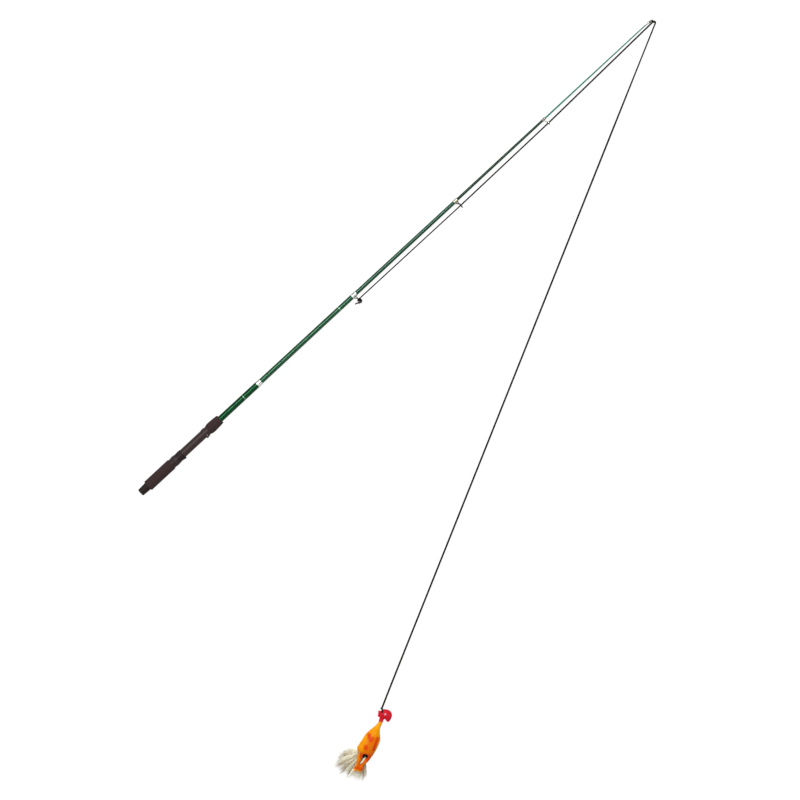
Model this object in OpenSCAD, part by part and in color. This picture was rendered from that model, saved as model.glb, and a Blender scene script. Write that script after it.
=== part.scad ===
// Dog flirt pole: a telescopic rod with line guides, an elastic cord and a rubber chicken lure.
// Millimetres. The rod runs along +X from the centre of its butt end and lies on its fore grip and
// tip ring, so it droops a little towards the tip. The guides, the cord and the lure are on the -Y side.

/* [Handle] */
// Length of the butt cap
cap_len = 21.5; // [15:0.5:30]
// Diameter of the butt cap at its free end
cap_end_d = 16.6; // [13:0.1:17]
// Diameter of the butt cap at its shoulder
cap_d = 18.8; // [17:0.1:20]
// Length of the plug that the cap sends into the butt tube
cap_plug_len = 6; // [4:0.5:8]
// Length of the rear grip
rear_grip_len = 69.5; // [55:0.5:110]
// Diameter of the rear grip
rear_grip_d = 24.4; // [21:0.1:27]
// Length of the seat's rear flange
flange_len = 4; // [2:0.5:8]
// Diameter of the seat's rear flange
flange_d = 21.8; // [20.5:0.1:24]
// Diameter of the reel seat barrel
barrel_d = 20; // [19:0.1:20.4]
// Length of the locking nut
nut_len = 13; // [8:0.5:18]
// Largest diameter of the locking nut
nut_d = 23.2; // [22:0.1:26]
// Number of flutes round the locking nut
nut_flutes = 18; // [10:1:24]
// Length of the sliding hood's rear sleeve
hood_sleeve_len = 7; // [5:0.5:10]
// Length of a hood's mouth, where the foot of a reel goes in
hood_mouth_len = 8; // [6:0.5:12]
// Room between the two hoods
foot_room = 62; // [50:1:80]
// Depth of the flat bed that the foot of a reel lies on
bed_depth = 1; // [0.7:0.1:1.4]
// Length of bare barrel between the front hood and the fore grip
seat_nose_len = 5; // [3:0.5:10]
// Length of the fore grip
fore_grip_len = 34.5; // [30:0.5:60]
// Largest diameter of the fore grip
fore_grip_d = 24.2; // [22.5:0.1:27]
// Diameter of the fore grip's front end
fore_grip_front_d = 20.6; // [18:0.1:22]

/* [Rod sections] */
// Bare length of the butt tube in front of the fore grip
butt_shown = 118; // [110:1:180]
// Step from the butt tube's mouth to the second section's mouth
section_2_step = 279; // [200:1:284]
// Step from the second section's mouth to the third section's mouth
section_3_step = 297; // [200:1:300]
// Step from the third section's mouth to the fourth section's mouth
section_4_step = 259; // [200:1:300]
// Bare length of the tip, from the fourth section's mouth to the tip tube
tip_step = 297; // [200:1:310]
// Outside diameter of the butt tube at its mouth
butt_tube_d = 13.8; // [13.4:0.1:14.4]
// Wall of the butt tube
butt_wall = 0.75; // [0.6:0.05:0.95]
// Wall of the second section
wall_2 = 0.75; // [0.5:0.05:0.9]
// Wall of the third section
wall_3 = 0.9; // [0.6:0.05:1]
// Wall of the fourth section
wall_4 = 0.8; // [0.6:0.05:0.9]
// Loss of diameter for each millimetre of length
taper = 0.004; // [0.003:0.0005:0.0045]
// Length of the second section that stays inside the butt tube
overlap_2 = 50; // [40:1:52]
// Length of the third section that stays inside the second
overlap_3 = 45; // [35:1:50]
// Length of the fourth section that stays inside the third
overlap_4 = 40; // [30:1:50]
// Length of the tip that stays inside the fourth section
tip_overlap = 35; // [25:1:50]

/* [Ferrules and guides] */
// Length of the butt tube's ferrule
ferrule_1_len = 11; // [8:0.5:16]
// Length of the second section's ferrule
ferrule_2_len = 12; // [11:0.5:16]
// Length of the third section's ferrule
ferrule_3_len = 10; // [9:0.5:14]
// Length of the fourth section's ferrule
ferrule_4_len = 9; // [8:0.5:12]
// Wall of a ferrule
ferrule_wall = 0.5; // [0.4:0.05:1]
// Length of the lip that a ferrule has in front of its tube
lip_len = 2; // [1:0.25:3]
// Distance from the rod's axis to the centre of the second section's guide
guide_2_offset = 15.7; // [15.2:0.1:18]
// Outer radius of the second section's guide
guide_2_r = 8.3; // [7:0.1:8.5]
// Distance from the rod's axis to the centre of the third section's guide
guide_3_offset = 14.1; // [12.5:0.1:16]
// Outer radius of the third section's guide
guide_3_r = 7; // [6:0.1:7.2]
// Distance from the rod's axis to the centre of the fourth section's guide
guide_4_offset = 12.3; // [9.5:0.1:14]
// Outer radius of the fourth section's guide
guide_4_r = 5.5; // [5.2:0.1:6]
// Radial thickness of a guide's frame
frame_t = 0.9; // [0.6:0.05:1.2]
// Axial width of a guide's frame
frame_w = 1.4; // [1:0.1:2]
// Radial thickness of the hard ring in a guide
insert_t = 1.1; // [0.8:0.05:1.3]
// Axial width of the hard ring in a guide
insert_w = 2; // [1.4:0.1:2.6]
// Radius of a guide's brace wires
brace_r = 0.7; // [0.4:0.05:0.8]
// Length of the tip tube
tip_tube_len = 16; // [12:0.5:24]
// Wall of the tip tube
tip_tube_wall = 0.6; // [0.4:0.05:1]
// Distance from the rod's axis to the centre of the tip ring
tip_ring_offset = 5; // [4.9:0.1:7]
// Radius of the tip ring, at the middle of its wire
tip_ring_r = 3.6; // [3.4:0.1:4.5]
// Radius of the tip ring's wire
tip_wire_r = 1.1; // [0.7:0.05:1.2]

/* [Cord] */
// Diameter of the elastic cord where it is drawn taut, along the rod
cord_d = 3; // [2:0.1:3.2]
// Diameter of the elastic cord where it lies slack
slack_d = 4; // [3:0.1:4.4]
// Length of the tail that hangs out of the hitch
hitch_tail = 12; // [6:1:30]
// Radius of the knot at the toy
knot_r = 2.6; // [2:0.1:3]
// Angle between the free cord and the rod
lure_angle = 25.4; // [15:0.1:90]

/* [Toy] */
// Turn of the toy on the floor, from the rod's direction
toy_turn = 206; // [180:1:230]
// Thickness of the rubber
rubber_wall = 2; // [1.5:0.1:3]
// Radius of the squeaker's flange
squeaker_r = 3.2; // [2.4:0.1:3.4]
// Length of the tail's hair
tail_len = 50; // [30:1:56]
// Angle over which the hair fans out
tail_fan = 106; // [60:1:110]

/* [Clearances] */
// Radial play of a section in the one below it
joint_fit = 0.05; // [0.02:0.01:0.1]
// Radial gap for glue under grips, seat and ferrules
glue_gap = 0.05; // [0.02:0.01:0.1]
// Radial play of the nut and the sliding hood on the barrel
slide_fit = 0.15; // [0.1:0.05:0.2]
// Gap between faces that move past each other, and round the cord
run_gap = 0.3; // [0.2:0.05:0.4]

/* [Hidden] */
$fn = 64;

// Colours
rubber_black = "#3b3031";
seat_grey = "#463f41";
cap_black = "#2e2826";
rod_green = "#1d5a3c";
tip_turquoise = "#4f9a86";
silver = "#c9cbc4";
frame_dark = "#3a3a36";
ring_dark = "#22211f";
cord_grey = "#3c3a37";
comb_red = "#cc1f2b";
body_orange = "#ef9412";
leg_orange = "#ee6a14";
hair_cream = "#c9bca4";

// Stations along the handle, from the butt end
grip_x = cap_len;
flange_x = grip_x + rear_grip_len;
nut_x = flange_x + flange_len + run_gap;
hood_x = nut_x + nut_len + run_gap;
hood_len = hood_sleeve_len + hood_mouth_len;
front_hood_x = hood_x + hood_len + foot_room;
nose_x = front_hood_x + hood_mouth_len;
fore_grip_x = nose_x + seat_nose_len;
handle_end_x = fore_grip_x + fore_grip_len;

// Stations of the mouths of the sections, with the rod drawn out
mouth_1 = handle_end_x + butt_shown;
mouth_2 = mouth_1 + section_2_step;
mouth_3 = mouth_2 + section_3_step;
mouth_4 = mouth_3 + section_4_step;
tip_tube_x = mouth_4 + tip_step;
tip_end_x = tip_tube_x + tip_tube_len;
tip_ring_x = tip_end_x + tip_wire_r + glue_gap;

// Outer radius of each section at the mouth of the section below it, and at its own mouth
butt_r = butt_tube_d / 2;
root_r_2 = butt_r - butt_wall - joint_fit;
r_2 = root_r_2 - section_2_step * taper / 2;
root_r_3 = r_2 - wall_2 - joint_fit;
r_3 = root_r_3 - section_3_step * taper / 2;
root_r_4 = r_3 - wall_3 - joint_fit;
r_4 = root_r_4 - section_4_step * taper / 2;
root_r_tip = r_4 - wall_4 - joint_fit;

// Outer radius of a section whose mouth has radius r at station m
function blank_r(x, r, m) = r + (m - x) * taper / 2;
function butt_blank_r(x) = blank_r(x, butt_r, mouth_1);
function tip_blank_r(x) = blank_r(x, root_r_tip, mouth_4);

// Rest on the floor: the fore grip and the tip ring touch it
fore_touch = 11;
fore_touch_x = fore_grip_x + fore_touch;
tip_ring_out = tip_ring_r + tip_wire_r;
droop = asin((fore_grip_d / 2 - tip_ring_out) / (tip_ring_x - fore_touch_x));
floor_z = -tip_ring_x * sin(droop) - tip_ring_out * cos(droop);

// Reel seat
barrel_r = barrel_d / 2;
bed_y = barrel_r - bed_depth;
hood_wall = 1;
hood_sleeve_r = barrel_r + slide_fit + 0.55;
hood_ring_r = hood_sleeve_r + 0.3;
hood_cowl_r = 8.2;
hood_cowl_back_r = 6.6;
pocket_h = 2.5;
hood_cowl_y = bed_y + pocket_h + hood_wall - hood_cowl_r;
pocket_floor = 2;
function cowl_r(z) = hood_cowl_back_r + (hood_cowl_r - hood_cowl_back_r) * z / hood_mouth_len;
rivet_r = 1.4;
rivet_shank_r = 0.7;
rivet_h = 0.7;
rivet_turn = 44;

// Guides: station of each ring, and the free radius inside its hard ring
ring_setback_2 = 5;
ring_setback_3 = 3;
ring_setback_4 = 2.5;
ring_2_x = mouth_2 + lip_len - ring_setback_2;
ring_3_x = mouth_3 + lip_len - ring_setback_3;
ring_4_x = mouth_4 + lip_len - ring_setback_4;
function ring_hole(r) = r - frame_t - glue_gap - insert_t;

// Cord: the hitch winds round the upper limb of the first guide ring
cord_r = cord_d / 2;
limb_r = (guide_2_r + ring_hole(guide_2_r)) / 2;
limb_half = norm([guide_2_r - ring_hole(guide_2_r), insert_w]) / 2;
hitch_r = limb_half + run_gap + cord_r;
hitch_pitch = cord_d + 0.5;
hitch_end_x = ring_2_x + 4.6;
hitch_steps = 24;
cord_3_z = ring_hole(guide_3_r) - cord_r - run_gap;
cord_4_z = ring_hole(guide_4_r) - cord_r - run_gap;
tip_limb_y = tip_ring_offset + tip_ring_r;
turn_r = tip_wire_r + run_gap + cord_r;

// Cord: its free stretch, as distance from the tip ring and height of its middle over the floor. It thickens
// to its slack diameter between two of these distances.
free_route = [
    [0, 4.7], [15, 4.65], [40, 4.3], [80, 3.6], [120, 3], [160, 2.55], [200, 2.25], [240, 2.1], [300, 2.1],
    [420, 2.1], [560, 2.1], [700, 2.1], [840, 2.1], [980, 2.1], [1120, 2.1], [1260, 2.1], [1380, 2.1],
    [1470, 2.1], [1500, 2.3], [1525, 3], [1548, 4.7], [1566, 6.9], [1579, 9.2], [1587, 10.8]
];
slack_from = 80;
slack_to = 240;
function free_r(reach) =
    cord_r + (slack_d - cord_d) / 2 * min(max((reach - slack_from) / (slack_to - slack_from), 0), 1);
lure_reach = 1590;
tie_z = 11;

// Place of the tip ring's outer limb, where the lure swings, and of the knot, where the toy swings
limb_at = [tip_ring_x * cos(droop), -tip_limb_y, -tip_ring_x * sin(droop)];
lure_way = [-cos(lure_angle), -sin(lure_angle), 0];
free_at = limb_at + turn_r * [sin(lure_angle), -cos(lure_angle), 0];
toy_at = [free_at[0], free_at[1], floor_z] + lure_reach * lure_way;

// Toy: head to tail is X, its left is -Y and its height over the floor is Z
neck_x = 31;
thigh_x = 108;
skull = [10.2, 9.5, tie_z, 10.9];
tie_way = [skull[0], skull[1], 0] / norm([skull[0], skull[1]]);
stopper_r = 3;
stopper_depth = 9;
// Body sections: station, left edge, right edge, underside and top
body_rings = [
    [neck_x, 3.9, 12.7, 6.5, 15.5], [42, -0.5, 12.2, 5, 18], [53, -7.5, 16, 2.5, 24], [64, -13, 21.3, 0.8, 29],
    [76, -15.6, 21.8, 0, 32], [88, -18, 20.6, 0, 32], [97, -19.8, 19.4, 0.8, 30], [103, -14.6, 18, 1.5, 27.5],
    [thigh_x, -12, 16.5, 2, 25]
];
body_sides = 24;
hollow_sides = 12;
// Balls that the head, the comb and the legs are drawn round: place and radius
neck_balls = [[31, 8.3, 11, 4.5], [25, 8.2, 11, 5], [19, 8.8, 11, 6.6], skull];
beak_balls = [skull, [8, 15, 11, 9.2], [10.5, 19, 11, 7], [15.5, 21.5, 11, 5.3], [20.2, 22.6, 11, 3]];
comb_tips = [[[10, 3.5, 11, 3], [9.3, -2.9, 11, 1.2]], [[13.5, 3.5, 11, 3], [14, -1.6, 11, 1.3]],
    [[17, 5, 11, 3], [18.2, 0.2, 11, 1.2]]];
left_leg = [[108, -6.5, 16, 5.4], [116, -6.3, 16, 5], [124, -5.8, 15.5, 4.4], [132, -5, 15, 4.2],
    [139, -5, 14, 5.2], [143.5, -2, 13.5, 3.4]];
right_leg = [[108, 11.5, 16, 5.2], [115, 9.3, 16, 4.9], [122, 6.6, 15.6, 4.6], [130, 4.2, 15, 4.2],
    [137, 3.2, 14, 5], [142, 4, 13.5, 3.8]];
squeaker_y = 2.6;
squeaker_z = 16;
squeaker_flange = 1.4;
squeaker_stem_r = 2.2;
squeaker_stem_len = 6;
// Tail: a flat root on the rump, with a grid of hairs growing from it
tail_w = 14;
tail_h = 6;
tail_y = -4;
tail_z = 1.5;
tail_root = 4;
tail_columns = 30;
tail_rows = 10;
tail_lean = -24;

// Moves children, drawn along +Z, to a station of the rod; the guide side is -Y
module along_rod(x = 0) rotate([0, droop, 0]) translate([x, 0, 0]) rotate([0, 90, 0]) children();

// Moves children, drawn in the rod's own X, Y and Z, to where the rod lies
module on_rod() rotate([0, droop, 0]) children();

// Moves children, drawn over the floor, to where the toy lies
module on_toy() translate(toy_at) rotate([0, 0, toy_turn]) children();

// Solid of revolution from a list of [radius, station] on the rod
module turned(outline) along_rod() rotate_extrude() polygon(outline);

// Points on a smooth curve through the points p, with a number of steps between each two
function between(p, i, u) =
    let (a = p[max(i - 1, 0)], b = p[i], c = p[i + 1], d = p[min(i + 2, len(p) - 1)])
    (2 * b + (c - a) * u + (2 * a - 5 * b + 4 * c - d) * u * u + (3 * b - a - 3 * c + d) * u * u * u) / 2;
function smooth(p, steps) =
    concat([for (i = [0:len(p) - 2], k = [0:steps - 1]) between(p, i, k / steps)], [p[len(p) - 1]]);

// Closed skin over a row of rings, each with the same number of points
module skin(rings) {
    sides = len(rings[0]);
    last = len(rings) - 1;
    walls = [
        for (i = [0:last - 1], k = [0:sides - 1])
            let (a = i * sides + k, b = i * sides + (k + 1) % sides, c = a + sides, d = b + sides)
                each [[a, c, d], [a, d, b]]
    ];
    ends = [[for (k = [0:sides - 1]) k], [for (k = [sides - 1:-1:0]) last * sides + k]];
    polyhedron(points = [for (ring = rings) each ring], faces = concat(walls, ends));
}

// Tube along a path, whose direction is never that of the reference. Its radius is one number or a list.
function unit(v) = v / norm(v);
function tube_ring(p, way, reference, r, sides) =
    let (a = unit(cross(reference, way)), b = cross(way, a))
    [for (k = [0:sides - 1]) p + r * (cos(360 * k / sides) * a + sin(360 * k / sides) * b)];
module tube(path, r, reference, sides = 8) {
    last = len(path) - 1;
    skin([
        for (i = [0:last])
            tube_ring(
                path[i], unit(path[min(i + 1, last)] - path[max(i - 1, 0)]), reference, is_list(r) ? r[i] : r, sides
            )
    ]);
}

// Round bar between two points
module bar(from, to, r) {
    way = to - from;
    translate(from)
        rotate([0, acos(way[2] / norm(way)), atan2(way[1], way[0])]) cylinder(r = r, h = norm(way), $fn = 24);
}

// Handle

module butt_cap() {
    edge = 1.2;
    color(cap_black) turned([
        [0, 0], [cap_end_d / 2 - edge, 0], [cap_end_d / 2 - edge * 0.3, edge * 0.3], [cap_end_d / 2, edge],
        [cap_d / 2, cap_len], [butt_blank_r(cap_len) - butt_wall - glue_gap, cap_len],
        [butt_blank_r(cap_len + cap_plug_len) - butt_wall - glue_gap, cap_len + cap_plug_len],
        [0, cap_len + cap_plug_len]
    ]);
}

module rear_grip() {
    edge = 1.4;
    r = rear_grip_d / 2;
    color(rubber_black) turned([
        [butt_blank_r(grip_x) + glue_gap, grip_x], [r - edge, grip_x], [r - edge * 0.3, grip_x + edge * 0.3],
        [r, grip_x + edge], [r, flange_x - edge], [r - edge * 0.3, flange_x - edge * 0.3],
        [r - edge, flange_x], [butt_blank_r(flange_x) + glue_gap, flange_x]
    ]);
}

// The barrel has a flat bed on the guide side, from the sliding hood to the front hood
module reel_seat() {
    edge = 0.5;
    flange_end = flange_x + flange_len;
    bed_x = hood_x + hood_sleeve_len;
    color(seat_grey) difference() {
        turned([
            [butt_blank_r(flange_x) + glue_gap, flange_x], [flange_d / 2 - edge, flange_x],
            [flange_d / 2, flange_x + edge], [flange_d / 2, flange_end - edge], [flange_d / 2 - edge, flange_end],
            [barrel_r, flange_end], [barrel_r, fore_grip_x], [butt_blank_r(fore_grip_x) + glue_gap, fore_grip_x]
        ]);
        along_rod(bed_x) translate([-barrel_r, -2 * barrel_r - bed_y, 0])
            cube([2 * barrel_r, 2 * barrel_r, nose_x - bed_x]);
    }
}

// Mouth of a hood, drawn from its closed end and not yet bored: a ring round the barrel with a cowl over
// the bed, whose pocket widens with it
module hood_mouth() {
    pocket_end = pocket_floor + hood_mouth_len;
    difference() {
        union() {
            cylinder(r = hood_ring_r, h = hood_mouth_len);
            translate([0, -hood_cowl_y, 0])
                cylinder(r1 = hood_cowl_back_r, r2 = hood_cowl_r, h = hood_mouth_len);
        }
        intersection() {
            translate([0, -hood_cowl_y, pocket_floor]) cylinder(
                r1 = cowl_r(pocket_floor) - hood_wall, r2 = cowl_r(pocket_end) - hood_wall, h = hood_mouth_len
            );
            translate([-hood_cowl_r, -3 * hood_cowl_r, 0])
                cube([2 * hood_cowl_r, 3 * hood_cowl_r, 3 * hood_cowl_r]);
        }
    }
}

// The sleeve runs on into the closed end of the mouth
module sliding_hood() {
    color(seat_grey) along_rod(hood_x) difference() {
        union() {
            cylinder(r = hood_sleeve_r, h = hood_sleeve_len + pocket_floor / 2);
            translate([0, 0, hood_sleeve_len]) hood_mouth();
        }
        translate([0, 0, -hood_len]) cylinder(r = barrel_r + slide_fit, h = 3 * hood_len);
    }
}

// Places children on the two flanks of the front hood, pointing outwards
module at_rivets() {
    along_rod(front_hood_x + hood_mouth_len / 2) for (side = [-1, 1])
        rotate([0, 0, side * rivet_turn]) translate([0, -hood_ring_r, 0]) rotate([90, 0, 0]) children();
}

module front_hood() {
    color(seat_grey) difference() {
        along_rod(nose_x) mirror([0, 0, 1]) hood_mouth();
        along_rod(front_hood_x - hood_mouth_len) cylinder(r = barrel_r + glue_gap, h = 3 * hood_mouth_len);
        at_rivets() translate([0, 0, -hood_cowl_r]) cylinder(r = rivet_shank_r + glue_gap, h = 2 * hood_cowl_r);
    }
}

module hood_rivets() {
    shank_len = 0.65;
    color(silver) at_rivets() rotate_extrude($fn = 24) polygon([
        [0, -shank_len], [rivet_shank_r, -shank_len], [rivet_shank_r, 0], [rivet_r, 0],
        [rivet_r * 0.75, rivet_h * 0.7], [rivet_r * 0.3, rivet_h], [0, rivet_h]
    ]);
}

// The nut is barrel shaped, with flutes for the fingers
module seat_nut() {
    edge_r = nut_d / 2 - 0.75;
    flute_r = 0.8;
    color(rubber_black) difference() {
        turned([
            [barrel_r + slide_fit, nut_x], [edge_r, nut_x], [nut_d / 2, nut_x + nut_len * 0.3],
            [nut_d / 2, nut_x + nut_len * 0.6], [edge_r, nut_x + nut_len], [barrel_r + slide_fit, nut_x + nut_len]
        ]);
        along_rod(nut_x) for (k = [0:nut_flutes - 1])
            rotate([0, 0, (k + 0.5) * 360 / nut_flutes]) translate([nut_d / 2 + flute_r * 0.4, 0, 0])
                cylinder(r = flute_r, h = nut_len, $fn = 16);
    }
}

// The fore grip swells behind its middle and narrows towards the tip
module fore_grip() {
    r = fore_grip_d / 2;
    front_r = fore_grip_front_d / 2;
    last = fore_grip_len;
    swell = smooth([
        [barrel_r + 0.3, 0], [r - 0.6, 3], [r - 0.1, 7], [r, fore_touch],
        [r - 0.3, last * 0.52], [front_r + 0.7, last * 0.85], [front_r, last]
    ], 3);
    color(rubber_black) turned(concat(
        [[butt_blank_r(handle_end_x) + glue_gap, handle_end_x], [butt_blank_r(fore_grip_x) + glue_gap, fore_grip_x]],
        [for (p = swell) [p[0], fore_grip_x + p[1]]]
    ));
}

// Rod sections

// Tapered tube from one station to another, with outer radius r at station m
module blank(from, to, r, m, wall) {
    turned([
        [blank_r(from, r, m) - wall, from], [blank_r(from, r, m), from],
        [blank_r(to, r, m), to], [blank_r(to, r, m) - wall, to]
    ]);
}

// Sleeve on the mouth m of a tube of radius r there, with a lip round the next section of radius inner_r
module ferrule(m, r, inner_r, length) {
    front = m + lip_len;
    rear = front - length;
    seat_r = r + glue_gap;
    rear_r = blank_r(rear, r, m) + glue_gap;
    outer_r = rear_r + ferrule_wall;
    edge = 0.4;
    color(silver) turned([
        [rear_r, rear], [outer_r - edge, rear], [outer_r, rear + edge], [outer_r, front - edge],
        [outer_r - edge, front], [inner_r + run_gap, front], [inner_r + run_gap, m], [seat_r, m]
    ]);
}
function ferrule_r(m, r, length) = blank_r(m + lip_len - length, r, m) + glue_gap + ferrule_wall;

// Frame of a line guide: a holder ring beside the rod, a web to the ferrule and two braces behind it
module guide_frame(x, m, r, length, offset, ring_r) {
    collar_r = ferrule_r(m, r, length);
    rear = m + lip_len - length;
    web = 2 * brace_r + 1.2;
    color(frame_dark) difference() {
        union() {
            along_rod(x - frame_w / 2) {
                translate([0, -offset, 0]) difference() {
                    cylinder(r = ring_r, h = frame_w);
                    translate([0, 0, -frame_w]) cylinder(r = ring_r - frame_t, h = 3 * frame_w);
                }
                translate([-web, ring_r - frame_t * 0.7 - offset, 0])
                    cube([2 * web, offset - ring_r + frame_t * 0.7, frame_w]);
            }
            on_rod() for (side = [-1, 1])
                bar([rear + 2 * brace_r, -collar_r * 0.8, side * collar_r * 0.6],
                    [x, -offset + ring_r * 0.62, side * (ring_r - frame_t / 2) * 0.8], brace_r);
        }
        along_rod(rear - length) cylinder(r = collar_r + glue_gap, h = 3 * length);
        along_rod(x - 2 * frame_w) translate([0, -offset, 0]) cylinder(r = ring_r - frame_t, h = 4 * frame_w);
    }
}

// Hard ring in a guide, round inside so that the cord runs over it
module guide_insert(x, offset, ring_r) {
    outer = ring_r - frame_t - glue_gap;
    inner = ring_hole(ring_r);
    edge = insert_t * 0.45;
    half = insert_w / 2;
    color(ring_dark) along_rod(x) translate([0, -offset, 0]) rotate_extrude() polygon([
        [outer, -half + edge], [outer, half - edge], [outer - edge, half], [inner + edge, half],
        [inner + edge * 0.3, half - edge * 0.3], [inner, half - edge], [inner, edge - half],
        [inner + edge * 0.3, edge * 0.3 - half], [inner + edge, -half], [outer - edge, -half]
    ]);
}

module butt_blank() color(rod_green) blank(grip_x, mouth_1, butt_r, mouth_1, butt_wall);
module butt_ferrule() ferrule(mouth_1, butt_r, root_r_2, ferrule_1_len);

module blank_2() color(rod_green) blank(mouth_1 - overlap_2, mouth_2, r_2, mouth_2, wall_2);
module ferrule_2() ferrule(mouth_2, r_2, root_r_3, ferrule_2_len);
module guide_2() guide_frame(ring_2_x, mouth_2, r_2, ferrule_2_len, guide_2_offset, guide_2_r);
module guide_2_ring() guide_insert(ring_2_x, guide_2_offset, guide_2_r);

module blank_3() color(rod_green) blank(mouth_2 - overlap_3, mouth_3, r_3, mouth_3, wall_3);
module ferrule_3() ferrule(mouth_3, r_3, root_r_4, ferrule_3_len);
module guide_3() guide_frame(ring_3_x, mouth_3, r_3, ferrule_3_len, guide_3_offset, guide_3_r);
module guide_3_ring() guide_insert(ring_3_x, guide_3_offset, guide_3_r);

module blank_4() color(rod_green) blank(mouth_3 - overlap_4, mouth_4, r_4, mouth_4, wall_4);
module ferrule_4() ferrule(mouth_4, r_4, root_r_tip, ferrule_4_len);
module guide_4() guide_frame(ring_4_x, mouth_4, r_4, ferrule_4_len, guide_4_offset, guide_4_r);
module guide_4_ring() guide_insert(ring_4_x, guide_4_offset, guide_4_r);

// The tip is solid
module tip_blank() {
    base = mouth_4 - tip_overlap;
    color(tip_turquoise) turned([
        [0, base], [tip_blank_r(base), base], [tip_blank_r(tip_end_x - 1), tip_end_x - 1], [0, tip_end_x - 1]
    ]);
}

module tip_tube() {
    seat = tip_blank_r(tip_tube_x) + glue_gap;
    color(silver) turned([
        [seat, tip_tube_x], [seat + tip_tube_wall * 0.5, tip_tube_x], [seat + tip_tube_wall, tip_tube_x + 1],
        [seat + tip_tube_wall, tip_end_x - 0.5], [seat + tip_tube_wall - 0.4, tip_end_x], [0, tip_end_x],
        [0, tip_end_x - 0.9], [tip_blank_r(tip_end_x - 0.9) + glue_gap, tip_end_x - 0.9]
    ]);
}

// The tip ring stands across the rod's end, on two wires from the tip tube
module tip_ring() {
    wire_r = 0.5;
    tube_r = tip_blank_r(tip_tube_x) + glue_gap + tip_tube_wall;
    color(ring_dark) difference() {
        union() {
            along_rod(tip_ring_x) translate([0, -tip_ring_offset, 0]) rotate_extrude()
                translate([tip_ring_r, 0]) circle(r = tip_wire_r, $fn = 32);
            on_rod() for (side = [-1, 1])
                bar([tip_end_x - 9, -tube_r * 0.8, side * tube_r * 0.8],
                    [tip_ring_x, -tip_ring_offset + tip_ring_r * 0.3, side * tip_ring_r * 0.95], wire_r);
        }
        along_rod(tip_tube_x) cylinder(r = tube_r + glue_gap, h = tip_tube_len + glue_gap);
    }
}

// Cord

// One turn round the upper limb of the first guide ring, between the tail and the run to the next guide
hitch_middle = [ring_2_x, -guide_2_offset, limb_r];
hitch_turn = [
    for (k = [0:hitch_steps])
        let (a = 90 - 360 * k / hitch_steps, shift = hitch_pitch * (k / hitch_steps - 0.5))
            hitch_middle + [hitch_r * cos(a), shift, hitch_r * sin(a)]
];
hitch_path = concat(
    [hitch_turn[0] - [hitch_tail + hitch_r, 0, 0.4], hitch_turn[0] - [hitch_r, 0, 0]],
    hitch_turn,
    [hitch_turn[hitch_steps] + [cord_r, 0, 0], [hitch_end_x, hitch_turn[hitch_steps][1], hitch_turn[hitch_steps][2]]]
);
// Least gap of the hitch to itself, between points that are at least half a turn apart
hitch_gap = min([
    for (i = [0:hitch_steps], j = [0:hitch_steps])
        if (j - i > hitch_steps / 2) norm(hitch_turn[j] - hitch_turn[i]) - cord_d
]);
echo(hitch_gap = hitch_gap);

module cord_hitch() color(cord_grey) on_rod() tube(hitch_path, cord_r, [0, 1, 0], 6);

// Straight run of cord between two guides
module cord_run(from, to) color(cord_grey) on_rod() tube([from, (from + to) / 2, to], cord_r, [0, 0, 1]);

hitch_out = hitch_path[len(hitch_path) - 1];
half_gap = [run_gap / 2, 0, 0];
cord_at_3 = [ring_3_x, -guide_3_offset - 0.4, cord_3_z];
cord_at_4 = [ring_4_x, -guide_4_offset - 0.3, cord_4_z];
cord_at_tip = [tip_ring_x, turn_r - tip_limb_y, 0];

module cord_run_2() cord_run(hitch_out + 2 * half_gap, cord_at_3 - half_gap);
module cord_run_3() cord_run(cord_at_3 + half_gap, cord_at_4 - half_gap);
module cord_run_4() cord_run(cord_at_4 + half_gap, cord_at_tip - 2 * half_gap);

// The cord turns back round the outer limb of the tip ring
module cord_turn() {
    turn = 180 - lure_angle;
    color(cord_grey) translate(limb_at) rotate([0, 0, 90 - turn])
        rotate_extrude(angle = turn) translate([turn_r, 0]) circle(r = cord_r, $fn = 32);
}

module cord_free() {
    start = [free_at[0], free_at[1], floor_z];
    path = [for (p = free_route) start + p[0] * lure_way + [0, 0, p[1]]];
    color(cord_grey) tube(path, [for (p = free_route) free_r(p[0])], [0, 0, 1]);
}

module cord_knot() color(cord_grey) translate(toy_at + [0, 0, tie_z]) sphere(r = knot_r, $fn = 32);

// Toy

module ball(b) translate([b[0], b[1], b[2]]) sphere(r = b[3], $fn = 16);
module chain(balls) for (i = [0:len(balls) - 2]) hull() { ball(balls[i]); ball(balls[i + 1]); }

// Stopper knot and stub of cord inside the head, with some room round them
module tie(room, from) {
    translate([0, 0, tie_z]) {
        bar(from * tie_way, stopper_depth * tie_way, cord_r + room);
        translate(stopper_depth * tie_way) sphere(r = stopper_r + room, $fn = 32);
    }
}

module toy_head() {
    big = 60;
    color(comb_red) on_toy() difference() {
        union() {
            chain(neck_balls);
            chain(beak_balls);
            for (tip = comb_tips) chain(tip);
        }
        translate([neck_x, -big / 2, -big / 2]) cube(big);
        tie(run_gap, 0);
    }
}

module toy_tie() color(cord_grey) on_toy() tie(0, knot_r + run_gap);

// Ring of the body at one of its sections, drawn in by a wall
function body_ring(s, wall, sides) =
    let (y = (s[1] + s[2]) / 2, z = (s[3] + s[4]) / 2, a = (s[2] - s[1]) / 2 - wall, b = (s[4] - s[3]) / 2 - wall)
    [for (k = [0:sides - 1]) [s[0], y + a * cos(360 * k / sides), z + b * sin(360 * k / sides)]];

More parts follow.
